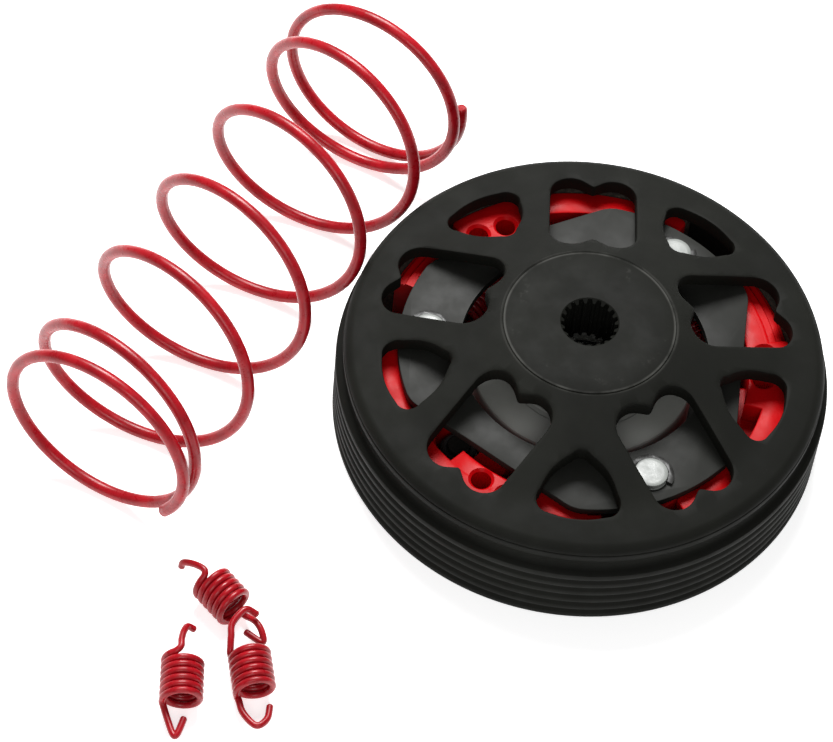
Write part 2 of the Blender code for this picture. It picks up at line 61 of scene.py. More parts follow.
# Bell
BELL_SEGMENTS = 288
GROOVE_HEIGHTS = [(2.9 + 3.6 * index) * MM for index in range(5)]
GROOVE_SHAPE = (
    (-1.15, 0.0),
    (-0.85, 0.16),
    (-0.45, 0.6),
    (0.0, 0.8),
    (0.45, 0.6),
    (0.85, 0.16),
    (1.15, 0.0),
)
FACE_EDGE = (62.3 * MM, 29.75 * MM)
FACE_KNEE = (53.4 * MM, 31.3 * MM)
FACE_TOP = (23.3 * MM, 41.3 * MM)
FACE_WALL = 4.3 * MM
WINDOW_ROUND = 0.6 * MM
OPENINGS_EACH = 5
HEART_AZIMUTH = math.radians(116.65)
HEART_OUT_CUSP = 53.4 * MM
HEART_OUT_LOBE = (50.5 * MM, 6.0 * MM, 5.9 * MM)
HEART_IN_CUSP = 29.9 * MM
HEART_IN_LOBE = (32.7 * MM, 6.1 * MM, 5.8 * MM)
HEART_HALF_WIDTH = 11.95 * MM
CUSP_ROUND = 0.35 * MM
SHIELD_CORNER = (50.9 * MM, 7.3 * MM, 3.7 * MM)
SHIELD_TIP = (41.0 * MM, 0.0, 3.1 * MM)
SHIELD_CROWN_R = 22.0 * MM
SHIELD_OUTER = 55.9 * MM
SHIELD_BULGE = 1.2 * MM

# Hub
HUB_R = 23.24 * MM
HUB_TOP = 41.3 * MM
HUB_DISC_Z = 36.8 * MM
HUB_BOSS = (12.5 * MM, 25.5 * MM)
SPLINE_TEETH = 19
SPLINE_ROOT_R = 7.75 * MM
SPLINE_TIP_R = 6.85 * MM
SPLINE_MOUTH = 0.25 * MM

# Clutch
SETS = 3
PIN_AZIMUTH = math.radians(83.3)
PIN_CIRCLE_R = 42.5 * MM
PIN_R = 4.5 * MM
PIN_Z = (0.3 * MM, 29.0 * MM)
PIN_NECK_R = 3.7 * MM
PIN_NECK_Z = (27.4 * MM, 28.25 * MM)
PLATE_R = 58.0 * MM
PLATE_THICK = 3.0 * MM
DISH_R = 30.6 * MM
DISH_WALL = 2.5 * MM
DISH_TOP = 23.4 * MM
DISH_GROOVE_R = (20.0 * MM, 22.0 * MM)
DISH_GROOVE_DEPTH = 0.25 * MM
SHAFT_HOLE_R = 8.6 * MM
SIDE_PLATE_Z = (24.7 * MM, 27.2 * MM)
SIDE_PLATE_R = 50.5 * MM
SIDE_PLATE_FLAT = 42.7 * MM
SIDE_PLATE_CORNER = 9.0 * MM
SIDE_PLATE_HOLE_R = 34.0 * MM
CLIP_R = (3.95 * MM, 4.75 * MM, 6.15 * MM)
CLIP_MOUTH = math.radians(38)
CLIP_STEPS = 48
CLIP_Z = (27.5 * MM, 28.1 * MM)
HOLE_GAP = 0.25 * MM

# Shoes: angles are measured round the bell's axis from the shoe's own pin
SHOE_Z = (4.0 * MM, 24.0 * MM)
SHOE_R = 56.9 * MM
RIM_R = 49.8 * MM
RIM_SPAN = (math.radians(5), math.radians(101))
PAD_R = 45.0 * MM
PAD_SPAN = (math.radians(50.5), math.radians(97))
WEB_R = 33.8 * MM
WEB_Z = (6.0 * MM, 16.5 * MM)
WEB_SPAN = (math.radians(4), math.radians(64))
LEDGE_R = 37.6 * MM
LEDGE_Z = 9.0 * MM
LEDGE_SPAN = (math.radians(60), math.radians(73))
HEEL_TAB_R = (34.6 * MM, 41.6 * MM)
HEEL_TAB_SPAN = (math.radians(-21), math.radians(-5))
BOSS_R = 8.6 * MM
POST_R = 1.4 * MM
POST_TOP = 17.5 * MM
TOE_POST = (40.0 * MM, math.radians(70))
HEEL_POST = (38.0 * MM, math.radians(-17))
RIM_HOLES = ((48.8 * MM, math.radians(62)), (49.7 * MM, math.radians(71.5)))
RIM_HOLE_R = 2.75 * MM
RIM_HOLE_FLOOR = 14.0 * MM
RIM_HOLE_FLARE = 0.85 * MM
TOE_START = math.radians(76)
TOE_OVERLAP = math.radians(1.7)
TOE_SECTIONS = 30
TOE_STEPS = ((51.3 * MM, 23.2 * MM), (53.9 * MM, 22.4 * MM), (56.0 * MM, 21.6 * MM))
LINING_R = (57.1 * MM, 61.2 * MM)
LINING_Z = (5.0 * MM, 23.2 * MM)
LINING_SPAN = (math.radians(5.5), math.radians(100))
DAMPER_AT = (40.6 * MM, math.radians(42))
DAMPER_POST_R = 3.0 * MM
DAMPER_POST_Z = 15.0 * MM
DAMPER_R = 4.9 * MM
DAMPER_Z = (7.5 * MM, 14.0 * MM)
DAMPER_HOLE_R = 6.4 * MM

# Springs
TORQUE_WIRE_R = 1.7 * MM
TORQUE_COIL_R = 27.3 * MM
TORQUE_X = -94.7 * MM
TORQUE_START_Y = -95.65 * MM
TORQUE_LENGTH = 145.1 * MM
TORQUE_TURNS = 7.13
TORQUE_CLOSED_TURNS = (1.15, 1.25)
TORQUE_CLOSED_GAP = 0.25 * MM
TORQUE_CLOSED_BLEND = 0.14
TORQUE_STEPS_PER_TURN = 72
TORQUE_WIRE_SIDES = 20
TORQUE_LEAN = 0.033
TORQUE_PHASE = 3.772
SMALL_WIRE_R = 0.93 * MM
SMALL_COIL_R = 4.85 * MM
SMALL_PITCH = 1.96 * MM
SMALL_REST = 5.72 * MM
SMALL_STEPS_PER_TURN = 36
SMALL_WIRE_SIDES = 12
HOOK_STEPS = 10
WIRE_SHARP = 50
SHOE_SPRING_Z = 13.6 * MM
SHOE_SPRING_TURNS = 6
SHOE_HOOK_BEND = 2.95 * MM

# Hooks of the loose springs, in mm: how far past the coils, then across and up
TIP_UP_HOOK = ((1.2, -0.9, 5.0), (3.4, -1.2, 4.7), (5.8, -2.0, 3.8), (7.7, -2.8, 2.4), (7.9, -3.2, 0.6))
CROOK_HOOK = ((1.2, -0.6, 5.0), (3.5, -0.5, 4.7), (6.5, 0.0, 3.9), (8.6, 0.9, 2.6), (8.8, 2.5, 1.0))
LINK_HOOK = ((1.2, 2.2, -4.0), (5.1, 2.2, -1.6), (8.4, 1.8, -1.6), (11.0, 0.2, -2.8), (6.0, -1.4, -2.6))
CATCH_HOOK = ((1.2, -4.7, 1.3), (4.0, -4.2, 2.2), (7.5, -3.4, 2.8), (11.0, 0.4, 3.2), (10.4, 3.4, 1.2))
WIDE_HOOK = ((1.4, -4.3, -1.6), (5.0, -3.6, -1.9), (9.0, -0.8, -1.9), (7.6, 2.2, -1.7), (4.0, 3.5, -1.5))
NARROW_HOOK = ((1.4, -4.4, -1.3), (4.6, -3.3, -1.9), (8.8, -1.7, -2.1), (8.6, -0.6, -1.9), (4.4, 0.9, -1.4))

# Letter, place and azimuth before the view's turn, turns, first angle, near and far hook
LOOSE_SPRINGS = (
    ("a", (-89.0, -75.1), -44.3, 5.52, 2.0, TIP_UP_HOOK, LINK_HOOK),
    ("b", (-78.8, -97.2), -76.2, 6.05, math.pi, CATCH_HOOK, WIDE_HOOK),
    ("c", (-96.4, -102.0), -85.2, 6.18, 2.0, CROOK_HOOK, NARROW_HOOK),
)

# Room: each light's name, place from the bell's axis before the view's turn, size and power
LIGHTS = (
    ("top_softbox", (-0.10, 0.46, 0.76), 0.40, 13.0),
    ("front_fill", (0.0, -0.85, 0.75), 0.50, 3.5),
)
WORLD_STRENGTH = 0.28
FLOOR_SIZE = 6.0
FLOOR_DROP = 0.2 * MM
# Floor glow is painted light (emission); it fades out between these radii, so under the bell it is painted
# shade
FLOOR_GLOW_R = (58 * MM, 67 * MM)
FLOOR_GLOW = 0.6

# Paint: base colour, then the radius and strength of the rubbed ring
BELL_PAINT = ((0.0048, 0.0051, 0.0038), 23.6 * MM, 0.3)
HUB_PAINT = ((0.0050, 0.0053, 0.0040), 22.9 * MM, 0.7)
SCUFF_R = 19.5 * MM
SCUFF_WIDTH = 3.2 * MM


# ---------------------------------------------------------------- shapes


def polar(radius, angle):
    return radius * math.cos(angle), radius * math.sin(angle)


def mesh_from(vertices, faces):
    mesh = bpy.data.meshes.new("piece")
    shape = bmesh.new()
    points = [shape.verts.new(vertex) for vertex in vertices]
    for face in faces:
        shape.faces.new([points[index] for index in face])
    bmesh.ops.recalc_face_normals(shape, faces=shape.faces)
    shape.to_mesh(mesh)
    shape.free()
    mesh.shade_smooth()
    return mesh


def turned(profile, segments):
    count = len(profile)
    vertices = []
    for step in range(segments):
        angle = 2 * math.pi * step / segments
        vertices += [(*polar(radius, angle), height) for radius, height in profile]
    faces = []
    for step in range(segments):
        here = step * count
        there = ((step + 1) % segments) * count
        for index in range(count):
            after = (index + 1) % count
            faces.append((here + index, there + index, there + after, here + after))
    return mesh_from(vertices, faces)


def stacked(levels):
    """A solid through rings of as many 3-D points each."""
    count = len(levels[0])
    vertices = [point for ring in levels for point in ring]
    faces = [tuple(range(count)), tuple(range(len(vertices) - count, len(vertices)))]
    for level in range(len(levels) - 1):
        low = level * count
        for index in range(count):
            after = (index + 1) % count
            faces.append((low + index, low + after, low + count + after, low + count + index))
    return mesh_from(vertices, faces)


def at_height(outline, height):
    return [(x, y, height) for x, y in outline]


def grown(outline, amount):
    """The outline moved outwards by an amount, or inwards by a negative one."""
    count = len(outline)
    area = sum(
        outline[i][0] * outline[(i + 1) % count][1] - outline[(i + 1) % count][0] * outline[i][1]
        for i in range(count)
    )
    turn = 1 if area > 0 else -1
    result = []
    for index in range(count):
        here = Vector(outline[index])
        before = (here - Vector(outline[index - 1])).normalized()
        after = (Vector(outline[(index + 1) % count]) - here).normalized()
        out_before = Vector((before.y, -before.x)) * turn
        out_after = Vector((after.y, -after.x)) * turn
        middle = (out_before + out_after).normalized()
        reach = amount / max(0.55, middle.dot(out_after))
        result.append(tuple(here + middle * reach))
    return result


def prism(outline, low, high, edge=0.0):
    """A prism whose top and bottom edges are rounded over."""
    levels = []
    if edge:
        levels.append(at_height(grown(outline, -edge), low))
        levels.append(at_height(grown(outline, -0.3 * edge), low + 0.3 * edge))
    levels.append(at_height(outline, low + edge))
    levels.append(at_height(outline, high - edge))
    if edge:
        levels.append(at_height(grown(outline, -0.3 * edge), high - 0.3 * edge))
        levels.append(at_height(grown(outline, -edge), high))
    return stacked(levels)


def circle(radius, segments, centre=(0.0, 0.0)):
    steps = [2 * math.pi * step / segments for step in range(segments)]
    return [(centre[0] + radius * math.cos(a), centre[1] + radius * math.sin(a)) for a in steps]


def sector(inner, outer, start, end, steps, corner=0.0):
    """A ring sector's outline, anticlockwise, its four corners rounded where corner isn't nought."""
    sweep = [start + (end - start) * step / steps for step in range(1, steps)]
    outline = []
    for radius, angle, side, facing in (
        (outer - corner, start, 1, 270),
        (outer - corner, end, -1, 0),
        (inner + corner, end, -1, 90),
        (inner + corner, start, 1, 180),
    ):
        inset = corner / radius
        if facing == 0:
            outline += [polar(outer, a) for a in sweep if start + inset < a < end - inset]
        if facing == 180:
            outline += [polar(inner, a) for a in reversed(sweep) if start + inset < a < end - inset]
        middle = angle + side * inset
        cx, cy = polar(radius, middle)
        for step in range(5 if corner else 1):
            turn = middle + math.radians(facing + 22.5 * step)
            outline.append((cx + corner * math.cos(turn), cy + corner * math.sin(turn)))
    return outline


def tube(path, radius, sides):
    """A round wire along a path, its ends softened."""
    path = [Vector(point) for point in path]
    first, last = (path[0] - path[1]).normalized(), (path[-1] - path[-2]).normalized()
    radii = [radius * 0.72] + [radius] * len(path) + [radius * 0.72]
    path = [path[0] + first * radius * 0.35] + path + [path[-1] + last * radius * 0.35]
    side = (path[1] - path[0]).orthogonal().normalized()
    rings = []
    for index, point in enumerate(path):
        tangent = (path[min(index + 1, len(path) - 1)] - path[max(index - 1, 0)]).normalized()
        side = (side - tangent * side.dot(tangent)).normalized()
        other = tangent.cross(side)
        turns = [2 * math.pi * step / sides for step in range(sides)]
        rings.append([point + radii[index] * (math.cos(a) * side + math.sin(a) * other) for a in turns])
    return stacked(rings)


def smooth_path(points, steps):
    """A Catmull-Rom curve through the points."""
    padded = [2 * points[0] - points[1]] + points + [2 * points[-1] - points[-2]]
    path = []
    for index in range(1, len(padded) - 2):
        p0, p1, p2, p3 = padded[index - 1 : index + 3]
        for step in range(steps):
            t = step / steps
            linear = (p2 - p0) * t
            square = (2 * p0 - 5 * p1 + 4 * p2 - p3) * t * t
            cube = (3 * p1 - p0 - 3 * p2 + p3) * t * t * t
            path.append(p1 + 0.5 * (linear + square + cube))
    path.append(points[-1])
    return path


def fused(base_mesh, joined=(), removed=()):
    """The base joined with some solids, and cut by others."""
    base = bpy.data.objects.new("base_solid", base_mesh)
    bpy.context.scene.collection.objects.link(base)
    helpers = [base]
    for operation, meshes in (("UNION", joined), ("DIFFERENCE", removed)):
        for mesh in meshes:
            helper = bpy.data.objects.new("helper_solid", mesh)
            bpy.context.scene.collection.objects.link(helper)
            step = base.modifiers.new(operation.lower(), "BOOLEAN")
            step.operation = operation
            step.solver = "EXACT"
            step.object = helper
            helpers.append(helper)
    bpy.context.view_layer.update()
    graph = bpy.context.evaluated_depsgraph_get()
    result = bpy.data.meshes.new_from_object(base.evaluated_get(graph))
    for helper in helpers:
        bpy.data.objects.remove(helper, do_unlink=True)
    result.shade_smooth()
    return result


def put(name, mesh, body, material, node, at=(0.0, 0.0), turn=0.0, sharp=32):
    """Makes one finished piece, which stands for a CAD node and rides on its body."""
    mesh.transform(Matrix.Rotation(turn, 4, "Z"))
    mesh.set_sharp_from_angle(angle=math.radians(sharp))
    mesh.materials.clear()
    mesh.materials.append(material)
    piece = bpy.data.objects.new(name, mesh)
    bpy.context.scene.collection.objects.link(piece)
    piece.location = (AXIS.x + at[0], AXIS.y + at[1], 0)
    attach(piece, body)
    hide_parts(node)


# ---------------------------------------------------------------- materials


class Look:
    """A node material built up step by step."""

    def __init__(self, name, roughness, specular):
        self.material = bpy.data.materials.new(name)
        self.material.use_nodes = True
        self.nodes = self.material.node_tree.nodes
        self.links = self.material.node_tree.links
        self.shader = self.nodes["Principled BSDF"]
        self.shader.inputs["Roughness"].default_value = roughness
        self.shader.inputs["Specular IOR Level"].default_value = specular
        self.where = self.nodes.new("ShaderNodeTexCoord").outputs["Object"]

    def node(self, kind, settings=None, **inputs):
        made = self.nodes.new(kind)
        for key, value in (settings or {}).items():
            setattr(made, key, value)
        for key, value in inputs.items():
            self.feed(made.inputs[key.replace("_", " ")], value)
        return made

    def feed(self, socket, value):
        if isinstance(value, bpy.types.NodeSocket):
            self.links.new(value, socket)
        else:
            socket.default_value = value

    def noise(self, scale, detail=4.0, roughness=0.55, stretch=None):
        where = self.where
        if stretch:
            mapped = self.node("ShaderNodeMapping", Vector=where, Scale=stretch)
            where = mapped.outputs["Vector"]
        made = self.node(
            "ShaderNodeTexNoise", Vector=where, Scale=scale, Detail=detail, Roughness=roughness
        )
        return made.outputs["Fac"]

    def span(self, value, low, high, to_low=0.0, to_high=1.0):
        made = self.node("ShaderNodeMapRange", {"interpolation_type": "SMOOTHSTEP"})
        for index, part in enumerate((value, low, high, to_low, to_high)):
            self.feed(made.inputs[index], part)
        return made.outputs["Result"]

    def math(self, operation, first, second=0.0):
        made = self.node("ShaderNodeMath", {"operation": operation})
        self.feed(made.inputs[0], first)
        self.feed(made.inputs[1], second)
        return made.outputs["Value"]

    def blend(self, share, first, second):
        made = self.node("ShaderNodeMix", {"data_type": "RGBA"})
        self.feed(made.inputs["Factor"], share)
        self.feed(made.inputs["A"], first)
        self.feed(made.inputs["B"], second)
        return made.outputs["Result"]

    def edges(self, radius, low, high):
        """One along convex and concave edges, nought on flat stretches."""
        rounded = self.node("ShaderNodeBevel", {"samples": 4}, Radius=radius).outputs["Normal"]
        flat = self.node("ShaderNodeNewGeometry").outputs["Normal"]
        dot = self.node("ShaderNodeVectorMath", {"operation": "DOT_PRODUCT"})
        self.feed(dot.inputs[0], rounded)
        self.feed(dot.inputs[1], flat)
        return self.span(dot.outputs["Value"], 1.0 - low, 1.0 - high)

    def distance(self):
        """How far a point lies from the piece's own Z axis."""
        flat = self.node("ShaderNodeVectorMath", {"operation": "MULTIPLY"})
        self.feed(flat.inputs[0], self.where)
        self.feed(flat.inputs[1], (1.0, 1.0, 0.0))
        length = self.node("ShaderNodeVectorMath", {"operation": "LENGTH"})
        self.feed(length.inputs[0], flat.outputs["Vector"])
        return length.outputs["Value"]

    def ring(self, radius, width):
        """One on a circle about the piece's own Z axis, fading away over a width."""
        off = self.math("ABSOLUTE", self.math("SUBTRACT", self.distance(), radius))
        return self.span(off, width, 0.0)

    def colour(self, value):
        self.feed(self.shader.inputs["Base Color"], value)

    def roughness(self, value):
        self.feed(self.shader.inputs["Roughness"], value)

    def bump(self, height, distance, strength=1.0):
        made = self.node("ShaderNodeBump", Height=height, Distance=distance, Strength=strength)
        self.feed(self.shader.inputs["Normal"], made.outputs["Normal"])


def rgb(red, green, blue):
    return (red, green, blue, 1.0)


def black_paint(name, base, ring_radius, ring_strength):
    look = Look(name, 0.66, specular=0.11)
    broad = look.noise(45.0, 5.0)
    fine = look.noise(1500.0, 3.0, 0.7)
    tone = look.blend(look.span(broad, 0.35, 0.7), rgb(*base), rgb(*[part * 1.45 for part in base]))
    dust = look.math("MULTIPLY", look.span(fine, 0.66, 0.8), look.span(look.noise(120.0), 0.5, 0.75))
    tone = look.blend(look.math("MULTIPLY", dust, 0.3), tone, rgb(0.09, 0.09, 0.08))
    patches = look.span(look.noise(260.0), 0.35, 0.7)
    worn = look.math("MULTIPLY", look.edges(0.5 * MM, 0.03, 0.35), patches)
    tone = look.blend(look.math("MULTIPLY", worn, 0.45), tone, rgb(0.035, 0.035, 0.031))
    broken = look.span(look.noise(90.0), 0.3, 0.6)
    rubbed = look.math("MULTIPLY", look.ring(ring_radius, 0.55 * MM), broken)
    tone = look.blend(look.math("MULTIPLY", rubbed, ring_strength), tone, rgb(0.07, 0.07, 0.064))
    patchy = look.span(look.noise(170.0, 6.0, 0.7), 0.56, 0.72)
    scuffs = look.math("MULTIPLY", look.ring(SCUFF_R, SCUFF_WIDTH), patchy)
    tone = look.blend(look.math("MULTIPLY", scuffs, ring_strength * 0.8), tone, rgb(0.04, 0.04, 0.036))
    look.colour(tone)
    look.roughness(look.span(look.noise(140.0, 5.0), 0.3, 0.7, 0.62, 0.7))
    look.bump(look.noise(2600.0, 3.0, 0.6), 0.05 * MM, 0.35)
    return look.material


def plate_steel(name, dish_radius=0.0):
    """Dark oily steel; within the dish's radius it is bare turned metal, with a painted sheen: a lighter fan
    painted on its side towards the camera.
    """
    look = Look(name, 0.48, specular=0.175)
    mottle = look.span(look.noise(60.0, 5.0), 0.3, 0.7)
    tone = look.blend(mottle, rgb(0.0135, 0.0140, 0.0120), rgb(0.0185, 0.0190, 0.0165))
    streaks = look.span(look.noise(420.0, 4.0, 0.6, (1.0, 0.06, 1.0)), 0.55, 0.75)
    tone = look.blend(look.math("MULTIPLY", streaks, 0.2), tone, rgb(0.036, 0.037, 0.033))
    if dish_radius:
        turned_tone_and_painted_sheen = look.blend(mottle, rgb(0.20, 0.204, 0.188), rgb(0.24, 0.244, 0.225))
        # Painted sheen: the turned dish is painted lighter on its side that faces the camera, a painted
        # highlight.
        facing = look.node("ShaderNodeVectorMath", {"operation": "NORMALIZE"})
        look.feed(facing.inputs[0], look.where)
        fan = look.node("ShaderNodeVectorMath", {"operation": "DOT_PRODUCT"})
        look.feed(fan.inputs[0], facing.outputs["Vector"])
        look.feed(fan.inputs[1], (math.sin(VIEW_TURN), -math.cos(VIEW_TURN), 0.0))
        painted_sheen = look.span(fan.outputs["Value"], 0.45, 0.8)
        bright = look.math("MULTIPLY", painted_sheen, 0.8)
        turned_tone_and_painted_sheen = look.blend(bright, turned_tone_and_painted_sheen, rgb(0.48, 0.485, 0.46))
        inside = look.span(look.distance(), dish_radius + 0.3 * MM, dish_radius - 0.2 * MM)
        tone = look.blend(inside, tone, turned_tone_and_painted_sheen)
    patches = look.span(look.noise(300.0), 0.3, 0.6)
    worn = look.math("MULTIPLY", look.edges(0.4 * MM, 0.03, 0.3), patches)
    tone = look.blend(look.math("MULTIPLY", worn, 0.5), tone, rgb(0.09, 0.09, 0.083))
    look.colour(tone)
    look.roughness(look.span(look.noise(150.0, 5.0), 0.3, 0.7, 0.5, 0.6))
    look.bump(look.noise(900.0, 4.0, 0.6), 0.03 * MM, 0.35)
    return look.material


def bright_steel():
    look = Look("bright_pin_steel", 0.42, specular=0.4)
    mottle = look.span(look.noise(200.0), 0.3, 0.7)
    tone = look.blend(mottle, rgb(0.20, 0.212, 0.20), rgb(0.24, 0.253, 0.238))
    worn = look.edges(0.3 * MM, 0.05, 0.4)
    look.colour(look.blend(look.math("MULTIPLY", worn, 0.5), tone, rgb(0.07, 0.07, 0.068)))
    look.roughness(look.span(look.noise(500.0, 4.0), 0.3, 0.7, 0.24, 0.42))
    look.bump(look.noise(1400.0, 3.0, 0.6, (1.0, 1.0, 0.2)), 0.02 * MM, 0.25)
    return look.material


def clip_steel():
    look = Look("clip_steel", 0.4, specular=0.25)
    mottle = look.span(look.noise(300.0), 0.3, 0.7)
    tone = look.blend(mottle, rgb(0.010, 0.010, 0.009), rgb(0.016, 0.016, 0.0145))
    worn = look.edges(0.2 * MM, 0.03, 0.3)
    look.colour(look.blend(look.math("MULTIPLY", worn, 0.7), tone, rgb(0.06, 0.06, 0.056)))
    look.roughness(look.span(look.noise(600.0), 0.3, 0.7, 0.28, 0.45))
    look.bump(look.noise(1600.0, 3.0), 0.02 * MM, 0.3)
    return look.material


def red_paint():
    look = Look("gloss_red_shoe_paint", 0.3, specular=0.07)
    mottle = look.span(look.noise(90.0, 5.0), 0.3, 0.7)
    tone = look.blend(mottle, rgb(0.38, 0.0016, 0.0028), rgb(0.47, 0.0022, 0.0042))
    pooled = look.span(look.noise(320.0, 5.0, 0.65), 0.6, 0.8)
    tone = look.blend(look.math("MULTIPLY", pooled, 0.35), tone, rgb(0.15, 0.001, 0.0016))
    patches = look.span(look.noise(400.0), 0.4, 0.65)
    worn = look.math("MULTIPLY", look.edges(0.4 * MM, 0.04, 0.4), patches)
    look.colour(look.blend(look.math("MULTIPLY", worn, 0.35), tone, rgb(0.45, 0.03, 0.03)))
    look.roughness(look.span(look.noise(240.0, 4.0), 0.3, 0.7, 0.26, 0.42))
    look.bump(look.noise(700.0, 4.0, 0.55), 0.06 * MM, 0.4)
    return look.material


def spring_coat():
    look = Look("red_spring_coat_fine", 0.34, specular=0.34)
    mottle = look.span(look.noise(180.0, 5.0), 0.3, 0.7)
    tone = look.blend(mottle, rgb(0.26, 0.0018, 0.0060), rgb(0.37, 0.0032, 0.0095))
    thin = look.span(look.noise(900.0, 4.0, 0.7), 0.6, 0.82)
    tone = look.blend(look.math("MULTIPLY", thin, 0.35), tone, rgb(0.11, 0.001, 0.003))
    specks = look.span(look.noise(2400.0, 2.0), 0.72, 0.82)
    look.colour(look.blend(look.math("MULTIPLY", specks, 0.4), tone, rgb(0.42, 0.07, 0.09)))
    look.roughness(look.span(look.noise(500.0, 4.0), 0.3, 0.7, 0.24, 0.38))
    look.bump(look.noise(1300.0, 4.0, 0.6), 0.04 * MM, 0.5)
    return look.material


def lining_compound():
    look = Look("friction_lining", 0.9, specular=0.2)
    mottle = look.span(look.noise(700.0, 5.0, 0.7), 0.35, 0.7)
    tone = look.blend(mottle, rgb(0.03, 0.026, 0.022), rgb(0.085, 0.07, 0.055))
    flecks = look.span(look.noise(2600.0, 2.0), 0.68, 0.76)
    look.colour(look.blend(look.math("MULTIPLY", flecks, 0.7), tone, rgb(0.35, 0.27, 0.14)))
    look.roughness(look.span(look.noise(500.0), 0.3, 0.7, 0.8, 0.95))
    look.bump(look.noise(1800.0, 4.0, 0.7), 0.08 * MM, 0.6)
    return look.material


def damper_rubber():
    look = Look("damper_rubber", 0.75, specular=0.35)
    mottle = look.span(look.noise(300.0, 5.0), 0.3, 0.7)
    look.colour(look.blend(mottle, rgb(0.012, 0.012, 0.012), rgb(0.03, 0.03, 0.029)))
    look.roughness(look.span(look.noise(400.0), 0.3, 0.7, 0.65, 0.85))
    look.bump(look.noise(1500.0, 3.0, 0.6), 0.04 * MM, 0.4)
    return look.material


# ---------------------------------------------------------------- bell and hub


def face_height(radius):
    """The closed face's outer height at a radius."""
    for (r0, z0), (r1, z1) in ((FACE_EDGE, FACE_KNEE), (FACE_KNEE, FACE_TOP)):
        if r1 <= radius <= r0:
            return z0 + (z1 - z0) * (r0 - radius) / (r0 - r1)
    return FACE_EDGE[1] if radius > FACE_EDGE[0] else FACE_TOP[1]


def bell_profile():
    """The bell's closed section, from its rim up the outside and back down the inside; the wall is in mm."""
    wall = [(66.4, 0.0), (66.85, 0.12), (67.0, 0.5)]
    for height in GROOVE_HEIGHTS:
        wall += [(67.0 - depth, height / MM + offset) for offset, depth in GROOVE_SHAPE]
    wall += [(67.0, 19.7), (66.85, 20.15), (66.3, 20.5), (65.5, 20.75), (64.8, 21.05), (64.35, 21.5)]
    wall += [(64.2, 22.1), (64.2, 23.3), (64.35, 23.9), (64.7, 24.4), (65.0, 24.8), (65.15, 25.3)]
    wall += [(65.2, 25.9), (65.2, 26.7), (65.1, 26.95), (64.85, 27.1), (64.85, 27.3), (65.0, 27.5)]
    wall += [(64.85, 28.0), (64.5, 28.5), (64.0, 28.95), (63.4, 29.35), (62.9, 29.58)]
    outer = [(radius * MM, height * MM) for radius, height in wall]
    radius = FACE_EDGE[0]
    while radius > FACE_TOP[0] + 1.0 * MM:
        outer.append((radius, face_height(radius)))
        radius -= 2.9 * MM
    outer += [(FACE_TOP[0] + 0.45 * MM, FACE_TOP[1] - 0.17 * MM), (FACE_TOP[0], FACE_TOP[1] - 0.4 * MM)]
    inner = [(FACE_TOP[0], FACE_TOP[1] - FACE_WALL)]
    for radius in (38.0 * MM, 53.4 * MM):
        inner.append((radius, face_height(radius) - FACE_WALL))
    drum = [(59.6, 25.1), (61.4, 24.4), (62.3, 23.2), (62.5, 22.0)]
    drum += [(62.5, 11.0), (62.5, 0.6), (62.9, 0.12), (63.3, 0.0)]
    return outer + inner + [(radius * MM, height * MM) for radius, height in drum]


def tangent_angle(lobe, cusp, side):
    centre_u, centre_v, radius = lobe
    reach = math.hypot(cusp - centre_u, centre_v)
    return math.atan2(-centre_v, cusp - centre_u) + side * math.acos(radius / reach)


def arc(lobe, start, end, steps):
    centre_u, centre_v, radius = lobe
    angles = [start + (end - start) * step / steps for step in range(steps + 1)]
    return [(centre_u + radius * math.cos(a), centre_v + radius * math.sin(a)) for a in angles]


def both_halves(half):
    return half + [(u, -v) for u, v in reversed(half[1:-1])]


def heart_bar():
    """A radial slot whose ends each have two round lobes with a softened cusp between."""
    out_start = tangent_angle(HEART_OUT_LOBE, HEART_OUT_CUSP, 1)
    in_end = tangent_angle(HEART_IN_LOBE, HEART_IN_CUSP, -1) + 2 * math.pi
    half = [(HEART_OUT_CUSP + CUSP_ROUND, 0.0), (HEART_OUT_CUSP + 1.25 * CUSP_ROUND, 0.45 * MM)]
    half += arc(HEART_OUT_LOBE, out_start, math.pi / 2, 16)
    outer_side = Vector((HEART_OUT_LOBE[0], HEART_HALF_WIDTH))
    inner_side = Vector((HEART_IN_LOBE[0], HEART_HALF_WIDTH))
    half += [tuple(outer_side.lerp(inner_side, share)) for share in (0.25, 0.5, 0.75)]
    half += arc(HEART_IN_LOBE, math.pi / 2, in_end, 16)
    half += [(HEART_IN_CUSP - 1.25 * CUSP_ROUND, 0.45 * MM), (HEART_IN_CUSP - CUSP_ROUND, 0.0)]
    return both_halves(half)


def shield():
    """A rounded shield, wide and crowned outside, with its tip towards the hub."""
    corner_u, corner_v, corner_r = SHIELD_CORNER
    tip_u, tip_v, tip_r = SHIELD_TIP
    run = Vector((corner_u - tip_u, corner_v - tip_v))
    normal = math.atan2(run.y, run.x) + math.acos((tip_r - corner_r) / run.length)
    crown_u = SHIELD_OUTER - SHIELD_CROWN_R
    half = []
    for part in (0.0, 0.07, 0.14, 0.21, 0.26):
        half.append((crown_u + SHIELD_CROWN_R * math.cos(part), SHIELD_CROWN_R * math.sin(part)))
    half += arc(SHIELD_CORNER, math.radians(20), normal, 10)
    side_start = Vector(half[-1])
    side_end = Vector(arc(SHIELD_TIP, normal, math.pi, 1)[0])
    out = Vector((math.cos(normal), math.sin(normal)))
    for step in range(1, 8):
        share = step / 8
        half.append(tuple(side_start.lerp(side_end, share) + out * SHIELD_BULGE * math.sin(math.pi * share)))
    half += arc(SHIELD_TIP, normal, math.pi, 9)
    return both_halves(half)


def window_cutter(outline, azimuth):
    """Cuts an opening whose upper edge is rounded over along the coned face."""
    cosine, sine = math.cos(azimuth), math.sin(azimuth)
    rings = []
    shapes = ((0.0, None), (0.0, -1.0), (0.3, -0.3), (1.0, 0.02), (1.0, 4.0))
    for spread, level in shapes:
        ring = []
        for u, v in grown(outline, spread * WINDOW_ROUND):
            height = 20 * MM if level is None else face_height(math.hypot(u, v)) + level * WINDOW_ROUND
            ring.append((u * cosine - v * sine, u * sine + v * cosine, height))
        rings.append(ring)
    return stacked(rings)


